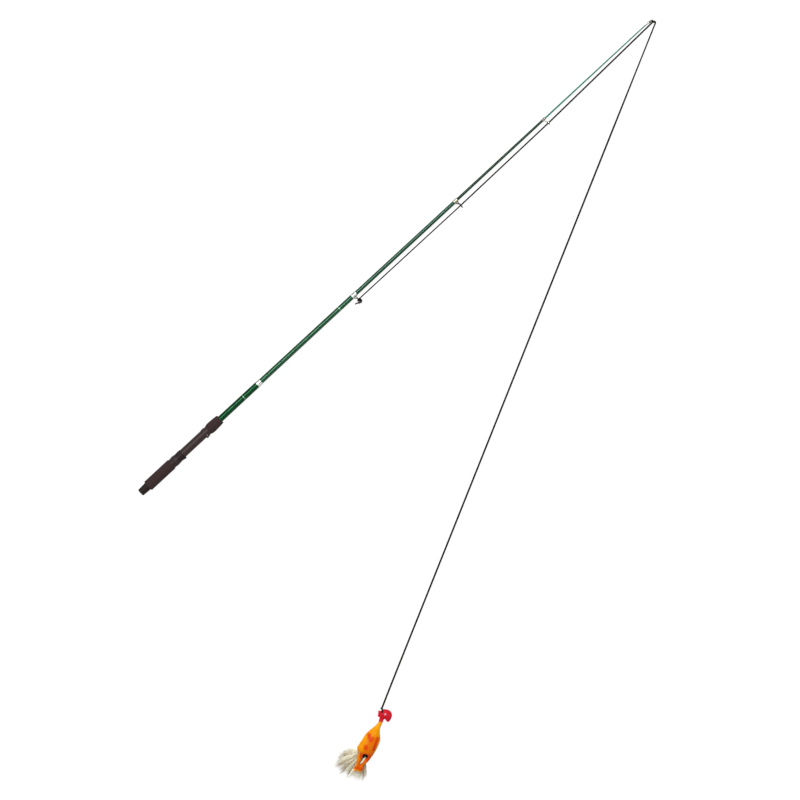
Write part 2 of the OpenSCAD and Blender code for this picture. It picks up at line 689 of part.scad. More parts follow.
module toy_body() {
    outer = smooth(body_rings, 3);
    inner = [for (s = body_rings) if (s[0] > neck_x && s[0] < thigh_x) s];
    bore_len = squeaker_stem_len + 2;
    color(body_orange) on_toy() difference() {
        skin([for (s = outer) body_ring(s, 0, body_sides)]);
        skin([for (s = inner) body_ring(s, rubber_wall, hollow_sides)]);
        translate([thigh_x - bore_len, squeaker_y, squeaker_z]) rotate([0, 90, 0])
            cylinder(r = squeaker_stem_r + glue_gap, h = 2 * bore_len);
    }
}

module toy_legs() {
    big = 80;
    color(leg_orange) on_toy() difference() {
        union() {
            chain(left_leg);
            chain(right_leg);
        }
        translate([thigh_x - big, -big / 2, -big / 2]) cube(big);
    }
}

// Black plastic reed plug in the rump, between the legs
module toy_squeaker() {
    reed_r = 0.8;
    color(ring_dark) on_toy() translate([thigh_x, squeaker_y, squeaker_z]) rotate([0, 90, 0]) difference() {
        union() {
            cylinder(r = squeaker_r, h = squeaker_flange);
            translate([0, 0, -squeaker_stem_len]) cylinder(r = squeaker_stem_r, h = squeaker_stem_len);
        }
        translate([0, 0, -2 * squeaker_stem_len])
            cylinder(r = reed_r, h = 2 * (squeaker_stem_len + squeaker_flange));
    }
}

// Hairs grow from the triangles of a grid, so that root and hairs are one closed skin
module toy_tail() {
    columns = tail_columns;
    rows = tail_rows;
    row_len = columns + 1;
    front_x = thigh_x + tail_root;
    grid = [
        for (j = [0:rows], i = [0:columns])
            [front_x, tail_y + tail_w * (i / columns - 0.5), tail_z + tail_h * j / rows]
    ];
    rim = concat(
        [for (i = [0:columns - 1]) i], [for (j = [0:rows - 1]) j * row_len + columns],
        [for (i = [columns:-1:1]) rows * row_len + i], [for (j = [rows:-1:1]) j * row_len]
    );
    grid_count = len(grid);
    rim_count = len(rim);
    hair_0 = grid_count + rim_count;
    // Each hair leans with its place on the root, and its length varies a little
    hairs = [
        for (j = [0:rows - 1], i = [0:columns - 1])
            let (
                base = [grid[j * row_len + i], grid[j * row_len + i + 1], grid[(j + 1) * row_len + i]],
                lean = tail_lean + tail_fan * (i / (columns - 1) - 0.5),
                length = tail_len * (1 + 0.12 * sin(47 * i + 131 * j)),
                sink = -0.35 * tail_h * j / rows,
                tip = base[0] + [length * cos(lean), length * sin(lean), sink],
                middle = base[0] * 0.5 + tip * 0.5 + [0, 0, 0.3]
            )
            concat([for (b = base) middle + (b - base[0]) * 0.7], [tip])
    ];
    stems = [
        for (j = [0:rows - 1], i = [0:columns - 1])
            let (
                a = j * row_len + i,
                base = [a, a + 1, a + row_len],
                m = hair_0 + 4 * (j * columns + i)
            )
            for (k = [0:2])
                let (n = (k + 1) % 3)
                    each [[base[k], m + k, m + n], [base[k], m + n, base[n]], [m + k, m + 3, m + n]]
    ];
    flats = [
        for (j = [0:rows - 1], i = [0:columns - 1])
            let (a = j * row_len + i) [a + 1, a + row_len, a + row_len + 1]
    ];
    sides = [
        for (k = [0:rim_count - 1])
            let (n = (k + 1) % rim_count)
                each [[grid_count + k, rim[k], rim[n]], [grid_count + k, rim[n], grid_count + n]]
    ];
    back_middle = hair_0 + 4 * len(hairs);
    back = [for (k = [0:rim_count - 1]) [grid_count + k, grid_count + (k + 1) % rim_count, back_middle]];
    color(hair_cream) on_toy() polyhedron(
        points = concat(
            grid, [for (k = rim) grid[k] - [tail_root, 0, 0]], [for (h = hairs) each h],
            [[thigh_x, tail_y, tail_z + tail_h / 2]]
        ),
        faces = concat(stems, flats, sides, back)
    );
}

butt_cap();
rear_grip();
reel_seat();
front_hood();
hood_rivets();
fore_grip();
butt_blank();
butt_ferrule();
sliding_hood();
seat_nut();
blank_2();
ferrule_2();
guide_2();
guide_2_ring();
cord_hitch();
cord_run_2();
blank_3();
ferrule_3();
guide_3();
guide_3_ring();
cord_run_3();
blank_4();
ferrule_4();
guide_4();
guide_4_ring();
cord_run_4();
tip_blank();
tip_tube();
tip_ring();
cord_turn();
cord_free();
cord_knot();
toy_head();
toy_body();
toy_legs();
toy_squeaker();
toy_tail();
toy_tie();
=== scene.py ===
# Dog flirt pole on a white floor, seen from straight above: a telescopic rod with line guides, an elastic
# cord and a rubber chicken. Metres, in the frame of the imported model. The rod lies along +X.
import math
import random

import bpy
from mathutils import Matrix, Vector


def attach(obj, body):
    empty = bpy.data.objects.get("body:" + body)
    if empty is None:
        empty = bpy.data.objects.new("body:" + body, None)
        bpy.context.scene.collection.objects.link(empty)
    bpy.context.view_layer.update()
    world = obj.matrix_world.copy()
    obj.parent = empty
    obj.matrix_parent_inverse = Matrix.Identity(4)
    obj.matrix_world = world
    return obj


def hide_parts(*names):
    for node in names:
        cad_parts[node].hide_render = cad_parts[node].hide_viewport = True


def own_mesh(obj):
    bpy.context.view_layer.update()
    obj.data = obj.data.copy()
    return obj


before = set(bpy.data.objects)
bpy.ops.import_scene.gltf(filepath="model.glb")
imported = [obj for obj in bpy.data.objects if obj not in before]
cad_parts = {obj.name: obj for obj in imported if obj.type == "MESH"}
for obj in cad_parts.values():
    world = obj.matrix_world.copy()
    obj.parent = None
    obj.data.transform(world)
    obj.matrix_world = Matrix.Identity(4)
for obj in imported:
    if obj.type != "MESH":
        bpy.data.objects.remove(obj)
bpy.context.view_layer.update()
MM = 0.001

# Where the rod and the toy lie, as in the part's source
ROD_FALL, ROD_SPAN = 7.4, 1290.65
ROD_DROOP = math.asin(ROD_FALL / ROD_SPAN)
FLOOR_Z = -13.3017 * MM
TOY_PLACE = (65.1661 * MM, -693.2265 * MM, FLOOR_Z)
TOY_TURN = math.radians(206)
rod_lie = Matrix.Rotation(ROD_DROOP, 4, "Y")
toy_lie = Matrix.Translation(TOY_PLACE) @ Matrix.Rotation(TOY_TURN, 4, "Z")


def on_rod(x, y=0, z=0):
    """Point of the rod's own frame, in millimetres, where the rod lies."""
    return rod_lie @ (Vector((x, y, z)) * MM)


def on_toy(t, w, z):
    """Point of the toy's own frame, in millimetres, where the toy lies."""
    return toy_lie @ (Vector((t, w, z)) * MM)


# Colours and nodes

def hex_colour(text):
    """Linear colour of an sRGB hex value."""
    parts = [int(text[i:i + 2], 16) / 255 for i in (1, 3, 5)]
    return [c / 12.92 if c <= 0.04045 else ((c + 0.055) / 1.055) ** 2.4 for c in parts] + [1]


def add_node(material, kind, sets=None, links=None):
    """Adds one node with its settings, and links what feeds it."""
    tree = material.node_tree
    made = tree.nodes.new("ShaderNode" + kind)
    for name, value in (sets or {}).items():
        if isinstance(name, str) and hasattr(made, name):
            setattr(made, name, value)
        else:
            made.inputs[name].default_value = value
    for name, source in (links or {}).items():
        tree.links.new(source, made.inputs[name])
    return made


def new_material(name, **sockets):
    """Material with one Principled shader. The sockets that are the same all over are set here."""
    material = bpy.data.materials.new(name)
    material.use_nodes = True
    shader = material.node_tree.nodes["Principled BSDF"]
    for socket, value in sockets.items():
        shader.inputs[socket.replace("_", " ")].default_value = value
    return material, shader


# Inputs of a Mix node that holds colours, and its output
MIX_A, MIX_B, MIX_OUT = 6, 7, 2


def mottle(material, shader, dark, light, grain, bump, depth, stretch=(1, 1, 1)):
    """Colour and bump from one fine noise. Grain is its size, and depth its height."""
    place = add_node(material, "TexCoord")
    turned = add_node(material, "Mapping", {"Scale": stretch}, {"Vector": place.outputs["Object"]})
    noise = add_node(material, "TexNoise", {"Scale": 1 / grain, "Detail": 3, "Roughness": 0.6},
                     {"Vector": turned.outputs["Vector"]})
    tone = add_node(material, "Mix",
                    {"data_type": "RGBA", MIX_A: hex_colour(dark), MIX_B: hex_colour(light)},
                    {0: noise.outputs["Fac"]})
    material.node_tree.links.new(tone.outputs[MIX_OUT], shader.inputs["Base Color"])
    relief = add_node(material, "Bump", {"Strength": bump, "Distance": depth},
                      {"Height": noise.outputs["Fac"]})
    material.node_tree.links.new(relief.outputs["Normal"], shader.inputs["Normal"])
    return tone


# EVA foam, cut and sanded: matt, with open cells. The cells are drawn at 1.2 mm so that they show.
foam, foam_shader = new_material("eva_foam", Roughness=0.86, Specular_IOR_Level=0.2)
mottle(foam, foam_shader, "#211616", "#3f2d2d", 1.2 * MM, 0.7, 0.4 * MM)

# Nylon with graphite, moulded: satin, with a faint grain from the mould, drawn coarse so that it shows
nylon, nylon_shader = new_material("graphite_nylon", Roughness=0.46, IOR=1.53, Specular_IOR_Level=0.18)
mottle(nylon, nylon_shader, "#261b1a", "#3b2d2b", 1.6 * MM, 0.25, 0.1 * MM)

# The same nylon without graphite: blacker and duller, for the sliding hood
hood_nylon, hood_shader = new_material("black_nylon", Roughness=0.55, IOR=1.53, Specular_IOR_Level=0.15)
mottle(hood_nylon, hood_shader, "#170e0f", "#291c1d", 1.6 * MM, 0.25, 0.1 * MM)

# ABS, moulded: satin, with the same grain, for the nut
abs_plastic, abs_shader = new_material("black_abs", Roughness=0.5, IOR=1.54, Specular_IOR_Level=0.2)
mottle(abs_plastic, abs_shader, "#1f1415", "#372728", 1.4 * MM, 0.3, 0.1 * MM)

# Vinyl rubber, moulded: dull and almost black, for the butt cap
vinyl, vinyl_shader = new_material("vinyl_rubber", Roughness=0.6, Specular_IOR_Level=0.15)
mottle(vinyl, vinyl_shader, "#150d0b", "#2a1e1b", 1.4 * MM, 0.3, 0.15 * MM)

# Polypropylene, moulded: smooth and black, for the squeaker and the pupils
reed_black, reed_shader = new_material("reed_black", Roughness=0.4)
mottle(reed_black, reed_shader, "#0b0a0a", "#1d1b1a", 1.5 * MM, 0.2, 0.1 * MM)

# Lathe rings run round the rod: the noise is fine along X and drawn out across it
LATHE = (1, 0.02, 0.02)

# Aluminium, turned and anodised: bright, with rings from the lathe, drawn at 0.5 mm so that they show
bright_alu, alu_shader = new_material("anodised_aluminium", Metallic=1, Roughness=0.3)
mottle(bright_alu, alu_shader, "#c4c6bf", "#e6e7e1", 0.5 * MM, 0.25, 0.05 * MM, LATHE)

# The same with a champagne and with a grey anodising, on the two upper sections
champagne, champagne_shader = new_material("champagne_aluminium", Metallic=1, Roughness=0.34)
mottle(champagne, champagne_shader, "#a8a58c", "#cbc9b2", 0.5 * MM, 0.25, 0.05 * MM, LATHE)
grey_alu, grey_shader = new_material("grey_aluminium", Metallic=1, Roughness=0.36)
mottle(grey_alu, grey_shader, "#6f6d68", "#98958f", 0.5 * MM, 0.25, 0.05 * MM, LATHE)

# The same, drawn bright and without anodising, for the thin fittings near the tip
bright_alu_thin, thin_shader = new_material("bright_aluminium", Metallic=1, Roughness=0.32)
mottle(bright_alu_thin, thin_shader, "#b4b4ac", "#d6d6cf", 0.5 * MM, 0.2, 0.05 * MM, LATHE)

# Stainless steel, cold headed: smooth and grey, for the rivets
rivet_steel, rivet_shader = new_material("stainless_steel", Metallic=1, Roughness=0.34)
mottle(rivet_steel, rivet_shader, "#75716f", "#908b88", 0.6 * MM, 0.1, 0.05 * MM)

# Steel with a dark bronze plating, stamped and bent: dull brown, for the first guide's frame
bronze, bronze_shader = new_material("bronzed_steel", Metallic=0.85, Roughness=0.38)
mottle(bronze, bronze_shader, "#2a2621", "#4a4238", 1 * MM, 0.2, 0.05 * MM)

# The same with a black nickel plating, for the next guide's frame
black_nickel, nickel_shader = new_material("black_nickel", Metallic=0.4, Roughness=0.4,
                                           Specular_IOR_Level=0.2)
mottle(black_nickel, nickel_shader, "#0e0c0b", "#1f1b18", 1 * MM, 0.2, 0.05 * MM)

# Hard ceramic, polished: black with small lights, for the rings that the cord runs on
ceramic, ceramic_shader = new_material("dark_ceramic", Roughness=0.24, Specular_IOR_Level=0.2)
mottle(ceramic, ceramic_shader, "#080707", "#151312", 0.8 * MM, 0.05, 0.02 * MM)


def lacquer(name, deep, bright, gloss, mark_x=None):
    """Glass fibre under metallic and clear lacquer: deep and shiny, with faint lengthwise fibres, drawn
    at 1.1 mm so that they show. A pale painted band may go round it at mark_x millimetres along the rod."""
    lengthwise = (0.03, 1, 1)
    mark_colour = "#6f9676"
    band_half = 1 * MM
    band_edge = 0.25 * MM
    material, shader = new_material(name, Metallic=0.85, Roughness=0.29, Coat_Weight=gloss,
                                    Coat_Roughness=0.18, IOR=1.5)
    tone = mottle(material, shader, deep, bright, 1.1 * MM, 0.03, 0.02 * MM, lengthwise)
    if mark_x is not None:
        place = add_node(material, "TexCoord")
        parts = add_node(material, "SeparateXYZ", None, {0: place.outputs["Object"]})
        off = add_node(material, "Math", {"operation": "SUBTRACT", 1: mark_x * MM}, {0: parts.outputs["X"]})
        away = add_node(material, "Math", {"operation": "ABSOLUTE"}, {0: off.outputs[0]})
        band = add_node(material, "MapRange",
                        {"From Min": band_half + band_edge, "From Max": band_half - band_edge},
                        {"Value": away.outputs[0]})
        marked = add_node(material, "Mix", {"data_type": "RGBA", MIX_B: hex_colour(mark_colour)},
                          {0: band.outputs["Result"], MIX_A: tone.outputs[MIX_OUT]})
        material.node_tree.links.new(marked.outputs[MIX_OUT], shader.inputs["Base Color"])
    return material


green_butt = lacquer("green_lacquer_butt", "#003216", "#004622", 0.1, 302.5)
green_second = lacquer("green_lacquer_second", "#043a1f", "#0c4e2e", 0.5, 583)
green_third = lacquer("green_lacquer_third", "#153b29", "#224f39", 0.4)
green_fourth = lacquer("green_lacquer_fourth", "#082414", "#123822", 0.3)
turquoise = lacquer("turquoise_lacquer", "#005c4a", "#0a7a66", 0.05)


def braid_material():
    """Polyester braid over rubber: matt strands that cross at a slant, 1.8 mm to a repeat along the cord."""
    strands = 8
    repeat = 1.8 * MM
    material, shader = new_material("braided_elastic", Roughness=0.85, Specular_IOR_Level=0.1,
                                    Sheen_Weight=0.04, Sheen_Roughness=0.4)
    place = add_node(material, "TexCoord")
    parts = add_node(material, "SeparateXYZ", None, {0: place.outputs["UV"]})
    around = add_node(material, "Math", {"operation": "MULTIPLY", 1: strands * math.pi},
                      {0: parts.outputs["X"]})
    length = add_node(material, "Math", {"operation": "MULTIPLY", 1: math.pi / repeat},
                      {0: parts.outputs["Y"]})
    one_way = add_node(material, "Math", {"operation": "ADD"},
                       {0: around.outputs[0], 1: length.outputs[0]})
    other_way = add_node(material, "Math", {"operation": "SUBTRACT"},
                         {0: around.outputs[0], 1: length.outputs[0]})
    one = add_node(material, "Math", {"operation": "SINE"}, {0: one_way.outputs[0]})
    other = add_node(material, "Math", {"operation": "SINE"}, {0: other_way.outputs[0]})
    cross = add_node(material, "Math", {"operation": "MULTIPLY"}, {0: one.outputs[0], 1: other.outputs[0]})
    height = add_node(material, "MapRange", {"From Min": -1}, {"Value": cross.outputs[0]})
    # The tone follows the weave's height: darker in the grooves between the strands, as painted shade
    tone = add_node(material, "Mix",
                    {"data_type": "RGBA", MIX_A: hex_colour("#050403"), MIX_B: hex_colour("#2a231e")},
                    {0: height.outputs["Result"]})
    relief = add_node(material, "Bump", {"Strength": 0.8, "Distance": 0.3 * MM},
                      {"Height": height.outputs["Result"]})
    material.node_tree.links.new(tone.outputs[MIX_OUT], shader.inputs["Base Color"])
    material.node_tree.links.new(relief.outputs["Normal"], shader.inputs["Normal"])
    return material


braid = braid_material()


# Camera, light and floor

VIEW_CENTRE = (0.545, -0.233)
VIEW_WIDTH = 1.7216
LENS = 85
SENSOR = 36
VIEW_TURN = math.radians(-42.83)
camera_data = bpy.data.cameras.new("camera")
camera_data.lens = LENS
camera_data.sensor_width = SENSOR
camera = bpy.data.objects.new("camera", camera_data)
camera.location = (*VIEW_CENTRE, VIEW_WIDTH * LENS / SENSOR)
camera.rotation_euler = (0, 0, VIEW_TURN)
bpy.context.collection.objects.link(camera)
bpy.context.scene.camera = camera


def area_light(name, place, aim, size, power):
    """Soft rectangular lamp that isn't seen itself."""
    data = bpy.data.lights.new(name, "AREA")
    data.shape = "RECTANGLE"
    data.size, data.size_y = size
    data.energy = power
    lamp = bpy.data.objects.new(name, data)
    lamp.location = place
    lamp.rotation_euler = (Vector(aim) - Vector(place)).to_track_quat("-Z", "X").to_euler()
    lamp.visible_camera = False
    bpy.context.collection.objects.link(lamp)


area_light("strip_light", (0.7, 0.9, 2.5), (0.6, 0, 0), (0.6, 3.4), 92)
area_light("fill_light", (0.2, -2.2, 1.6), (0.4, -0.3, 0), (1.6, 1.6), 9)


def white_studio():
    """World that is bright overhead and darker towards its walls."""
    at_walls, overhead = 0.1, 0.45
    brightest_from = 0.9
    world = bpy.data.worlds.new("studio")
    world.use_nodes = True
    sky = world.node_tree.nodes["Background"]
    sky.inputs["Color"].default_value = (1, 1, 1, 1)
    place = add_node(world, "TexCoord")
    parts = add_node(world, "SeparateXYZ", None, {0: place.outputs["Generated"]})
    rise = add_node(world, "MapRange", {"From Max": brightest_from, "To Min": at_walls, "To Max": overhead},
                    {"Value": parts.outputs["Z"]})
    world.node_tree.links.new(rise.outputs["Result"], sky.inputs["Strength"])
    bpy.context.scene.world = world


white_studio()
bpy.context.scene.view_settings.view_transform = "Standard"


def white_floor():
    """White paper. The camera and shiny surfaces see it almost white, and it keeps a soft shadow."""
    shown, white = 0.9, 1.06
    middle, size = (0.5, -0.2, FLOOR_Z), 80
    material, shader = new_material("white_paper", Roughness=0.9, Base_Color=(0.93, 0.93, 0.93, 1))
    glow = add_node(material, "Emission", {"Strength": white})
    path = add_node(material, "LightPath")
    seen = path.outputs["Is Camera Ray"]
    for ray in ("Is Glossy Ray", "Is Transmission Ray"):
        either = add_node(material, "Math", {"operation": "MAXIMUM"}, {0: seen, 1: path.outputs[ray]})
        seen = either.outputs[0]
    share = add_node(material, "Math", {"operation": "MULTIPLY", 1: shown}, {0: seen})
    both = add_node(material, "MixShader", None,
                    {0: share.outputs[0], 1: shader.outputs[0], 2: glow.outputs[0]})
    surface = material.node_tree.nodes["Material Output"].inputs["Surface"]
    material.node_tree.links.new(both.outputs[0], surface)
    bpy.ops.object.select_all(action="DESELECT")
    bpy.ops.mesh.primitive_plane_add(size=size, location=middle)
    plane = bpy.context.object
    plane.name = "floor"
    plane.data.materials.append(material)


white_floor()


# Cords

def smooth_row(rows, steps):
    """Rows of numbers on a smooth curve through the rows given, with steps between each two."""
    out = []
    for i in range(len(rows) - 1):
        a, b, c, d = rows[max(i - 1, 0)], rows[i], rows[i + 1], rows[min(i + 2, len(rows) - 1)]
        for k in range(steps):
            u = k / steps
            out.append([(2 * q + (r - p) * u + (2 * p - 5 * q + 4 * r - s) * u * u
                         + (3 * q - p - 3 * r + s) * u ** 3) / 2 for p, q, r, s in zip(a, b, c, d)])
    return out + [list(rows[-1])]


def tube(name, path, radius, sides=14):
    """Round cord along a path, of one radius or a list. Its UV map runs round it and along it in metres."""
    points = [Vector(p) for p in path]
    radii = radius if isinstance(radius, list) else [radius] * len(points)
    last = len(points) - 1
    way = (points[1] - points[0]).normalized()
    side = way.orthogonal().normalized()
    vertices, travelled, run = [], [], 0.0
    for i, point in enumerate(points):
        ahead = (points[min(i + 1, last)] - points[max(i - 1, 0)]).normalized()
        side = (side - ahead * side.dot(ahead)).normalized()
        across = ahead.cross(side)
        if i:
            run += (point - points[i - 1]).length
        travelled.append(run)
        for k in range(sides):
            turn = 2 * math.pi * k / sides
            vertices.append(point + radii[i] * (math.cos(turn) * side + math.sin(turn) * across))
    faces, marks = [], []
    for i in range(last):
        for k in range(sides):
            n = (k + 1) % sides
            a = i * sides
            faces.append((a + k, a + n, a + sides + n, a + sides + k))
            u0, u1 = k / sides, (k + 1) / sides
            v0, v1 = travelled[i], travelled[i + 1]
            marks += [(u0, v0), (u1, v0), (u1, v1), (u0, v1)]
    for base, order in ((0, range(sides - 1, -1, -1)), (last * sides, range(sides))):
        faces.append([base + k for k in order])
        marks += [(k / sides, 0.0) for k in order]
    mesh = bpy.data.meshes.new(name)
    mesh.from_pydata(vertices, [], faces)
    layer = mesh.uv_layers.new(name="UVMap")
    for loop, mark in zip(layer.data, marks):
        loop.uv = mark
    mesh.shade_smooth()
    mesh.materials.append(braid)
    cord = bpy.data.objects.new(name, mesh)
    bpy.context.collection.objects.link(cord)
    return cord


# The cord is thinner where it is drawn taut than where it lies slack, and its pull falls off guide by guide
CORD_R = 1.6 * MM
RUN_RADII = {"cord_run_2": 1.45 * MM, "cord_run_3": 1.65 * MM, "cord_run_4": 1.8 * MM}
SLACK_R = 2 * MM
SLACK_FROM, SLACK_TO = 80, 240
FREE_START = (1501.4693 * MM, -11.2197 * MM, FLOOR_Z)
LURE_ANGLE = math.radians(25.4)
lure_way = Vector((-math.cos(LURE_ANGLE), -math.sin(LURE_ANGLE), 0))
# The free stretch, in millimetres: distance from the tip ring, and height of the cord's middle over the floor
FREE_ROUTE = [
    (0, 4.7), (15, 4.65), (40, 4.3), (80, 3.6), (120, 3), (160, 2.55), (200, 2.25), (240, 2.1), (300, 2.1),
    (420, 2.1), (560, 2.1), (700, 2.1), (840, 2.1), (980, 2.1), (1120, 2.1), (1260, 2.1), (1380, 2.1),
    (1470, 2.1), (1500, 2.3), (1525, 3), (1548, 4.7), (1566, 6.9), (1579, 9.2), (1587, 10.8),
]
free_path = [Vector(FREE_START) + lure_way * (reach * MM) + Vector((0, 0, height * MM))
             for reach, height in FREE_ROUTE]
free_radii = [CORD_R + (SLACK_R - CORD_R) * min(max((reach - SLACK_FROM) / (SLACK_TO - SLACK_FROM), 0), 1)
              for reach, _ in FREE_ROUTE]
free_cord = tube("free_cord", free_path, free_radii)
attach(free_cord, "lure")
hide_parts("cord_free")

# The turn round the tip ring's outer limb, which laps over the free cord.
LIMB = Vector((1500.2253, -8.6, -8.6018)) * MM
TURN_R = 2.9 * MM
TURN_FROM, TURN_SWEEP, TURN_STEPS = 90, 154.6, 24
TURN_LAP = 0.6 * MM
turn_path = [LIMB + TURN_R * Vector((math.cos(a), math.sin(a), 0))
             for a in [math.radians(TURN_FROM - TURN_SWEEP * i / TURN_STEPS) for i in range(TURN_STEPS + 1)]]
turn_start, turn_end = turn_path[0], turn_path[-1]
turn_path.append(turn_end + lure_way * TURN_LAP)
cord_bend = tube("cord_bend", turn_path, CORD_R)
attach(cord_bend, "lure")
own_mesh(cord_bend)
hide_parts("cord_turn")

# The knot at the toy is an overhand knot pulled tight, drawn as a trefoil
KNOT_Z = 11
knot_middle = on_toy(0, 0, KNOT_Z)
KNOT_SCALE, KNOT_RISE = 0.62 * MM, 1.3
KNOT_STEPS = 72
KNOT_CORD_R, KNOT_SIDES = 1.35 * MM, 10
knot_path = []
for i in range(KNOT_STEPS + 1):
    turn = 2 * math.pi * i / KNOT_STEPS
    trefoil = Vector((math.sin(turn) + 2 * math.sin(2 * turn), math.cos(turn) - 2 * math.cos(2 * turn),
                      -KNOT_RISE * math.sin(3 * turn)))
    knot_path.append(knot_middle + KNOT_SCALE * trefoil)
toy_knot = tube("toy_knot", knot_path, KNOT_CORD_R, KNOT_SIDES)
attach(toy_knot, "lure")
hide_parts("cord_knot")

# Stopper end inside the head, and the loose end of the knot that lies over the head
STUB_POINTS = [(7.5, 7, 11), (5, 4.7, 11), (2.5, 2.3, 11.2), (1.3, 1.1, 13.4), (2.2, 1.4, 16.2),
               (4, 2.2, 18.6), (5.8, 3.1, 20.2), (7.4, 3.9, 21)]
stub_path = [on_toy(*p) for p in smooth_row(STUB_POINTS, 4)]
cord_stub = tube("cord_stub", stub_path, CORD_R)
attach(cord_stub, "toy")
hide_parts("toy_tie")

# Hitch on the first guide: a tail, two turns round the ring's upper limb, and the start of the run. Places
# are in millimetres along the rod, across it and over it. The tail's are back from the turns and sideways.
RING_2, RING_3, RING_4, TIP_RING = 627.1, 926.1, 1185.6, 1500.25
GUIDE_2_Y, LIMB_2_R = -15.7, 7.275
HITCH_R = 3.232
HITCH_TURNS = 2
HITCH_LEAN, HITCH_LEAN_SWEEP = -32, 46
HITCH_TAIL = (13, 4.6), (9.6, 4.2), (6.8, 2.6), (4.8, 0.9), (3.2, 0)
HITCH_OUT = (RING_2 + 4.6, -13.95, 10.507)
STEPS_IN_TURN = 36
hitch_steps = STEPS_IN_TURN * HITCH_TURNS
hitch_turn = []
for k in range(hitch_steps + 1):
    lean = math.radians(HITCH_LEAN + HITCH_LEAN_SWEEP * k / hitch_steps)
    turn = math.radians(90 - 360 * HITCH_TURNS * k / hitch_steps)
    far = LIMB_2_R + HITCH_R * math.sin(turn)
    hitch_turn.append((RING_2 + HITCH_R * math.cos(turn), GUIDE_2_Y + far * math.sin(lean),
                       far * math.cos(lean)))
turns_start = hitch_turn[0]
hitch_points = [(turns_start[0] - back, turns_start[1] + side, turns_start[2]) for back, side in HITCH_TAIL]
hitch_points += hitch_turn + [(RING_2 + 2.4, *HITCH_OUT[1:]), HITCH_OUT]
cord_tie = tube("cord_tie_on_guide", [on_rod(*p) for p in hitch_points], CORD_R)
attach(cord_tie, "section_2")
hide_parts("cord_hitch")

# Runs from guide to guide: node, body, slide in front, start, end and the slide's travel. Each ends just
# short of a ring's middle, where the cord lies in it.
IN_RING_3, IN_RING_4, IN_TIP_RING = (-14.5, 3.15), (-12.6, 1.65), (-5.7, 0)
SHORT = 0.15
RUN_STEPS = 24
runs = [
    ("cord_run_2", "section_2", "slide_3",
     (RING_2 + 4.9, *HITCH_OUT[1:]), (RING_3 - SHORT, *IN_RING_3), 286.5),
    ("cord_run_3", "section_3", "slide_4",
     (RING_3 + SHORT, *IN_RING_3), (RING_4 - SHORT, *IN_RING_4), 249.5),
    ("cord_run_4", "section_4", "slide_tip",
     (RING_4 + SHORT, *IN_RING_4), (TIP_RING - 2 * SHORT, *IN_TIP_RING), 294.5),
]
for node, body, joint, start, end, travel in runs:
    run_path = [on_rod(*Vector(start).lerp(Vector(end), i / RUN_STEPS)) for i in range(RUN_STEPS + 1)]
    run = tube(node.replace("cord_run", "taut_cord"), run_path, RUN_RADII[node])
    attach(run, body)
    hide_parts(node)
    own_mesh(run)


# Rubber chicken

def roll(balls, steps=6, flat=1.0):
    """Lumps of clay through balls of place and radius. Flat is their thickness for each unit of width."""
    return [((t, w, z), (r, r, r * flat)) for t, w, z, r in smooth_row(balls, steps)]


def clay_pile(name, lumps):
    """Object of many ellipsoids, in millimetres: one ball is made, and copied to each place and size."""
    bpy.ops.object.select_all(action="DESELECT")
    bpy.ops.mesh.primitive_uv_sphere_add(segments=20, ring_count=12, radius=1)
    pile = bpy.context.object
    pile.name = name
    ball = [v.co.copy() for v in pile.data.vertices]
    patches = [list(f.vertices) for f in pile.data.polygons]
    vertices, faces = [], []
    for place, size in lumps:
        first_vertex = len(vertices)
        vertices += [[(p + c * s) * MM for p, c, s in zip(place, co, size)] for co in ball]
        faces += [[first_vertex + k for k in patch] for patch in patches]
    pile.data.clear_geometry()
    pile.data.from_pydata(vertices, [], faces)
    return pile


# Rings of the body, in the toy's frame: place along it, left, right, bottom and top
BODY_RINGS = [
    (31, 3.9, 12.7, 6.5, 15.5), (42, -0.5, 12.2, 5, 18), (53, -7.5, 16, 2.5, 24),
    (64, -13, 21.3, 0.8, 29), (76, -15.6, 21.8, 0, 32), (88, -18, 20.6, 0, 32),
    (97, -19.8, 19.4, 0.8, 30), (103, -14.6, 18, 1.5, 27.5), (108, -12, 16.5, 2, 25),
]
# Balls that the other forms are rolled through: place along the toy, across it and up, and radius
NECK = [(31, 8.3, 11, 4.5), (25, 7.9, 11, 4.9), (19, 7.8, 11, 5.6), (9.3, 9.5, 11, 10.2)]
FACE = [(9.3, 9.5, 11, 10.2), (7.6, 14.6, 11, 9.6), (9.4, 17.8, 11, 8.9), (13.2, 19.4, 11, 7.2),
        (17.2, 20.8, 11, 5.4), (19.8, 22.2, 11, 3.2)]
COMB = [[(10, 4, 11, 4), (8.2, -3.9, 11, 1.9)], [(13.6, 4, 11, 3.8), (13, -2.6, 11, 1.9)],
        [(17, 5, 11, 3.4), (17.8, -1.8, 11, 1.8)]]
LEFT_LEG = [(106, -6.5, 16, 5.6), (116, -6.3, 16, 5), (124, -5.8, 15.5, 4.2), (131, -5, 15, 3.8),
            (136, -4.6, 14.6, 4.2)]
RIGHT_LEG = [(106, 11.5, 16, 5.4), (115, 9.3, 16, 4.8), (122, 6.6, 15.6, 4.3), (129, 4.4, 15, 3.8),
             (134, 3.6, 14.6, 4.2)]
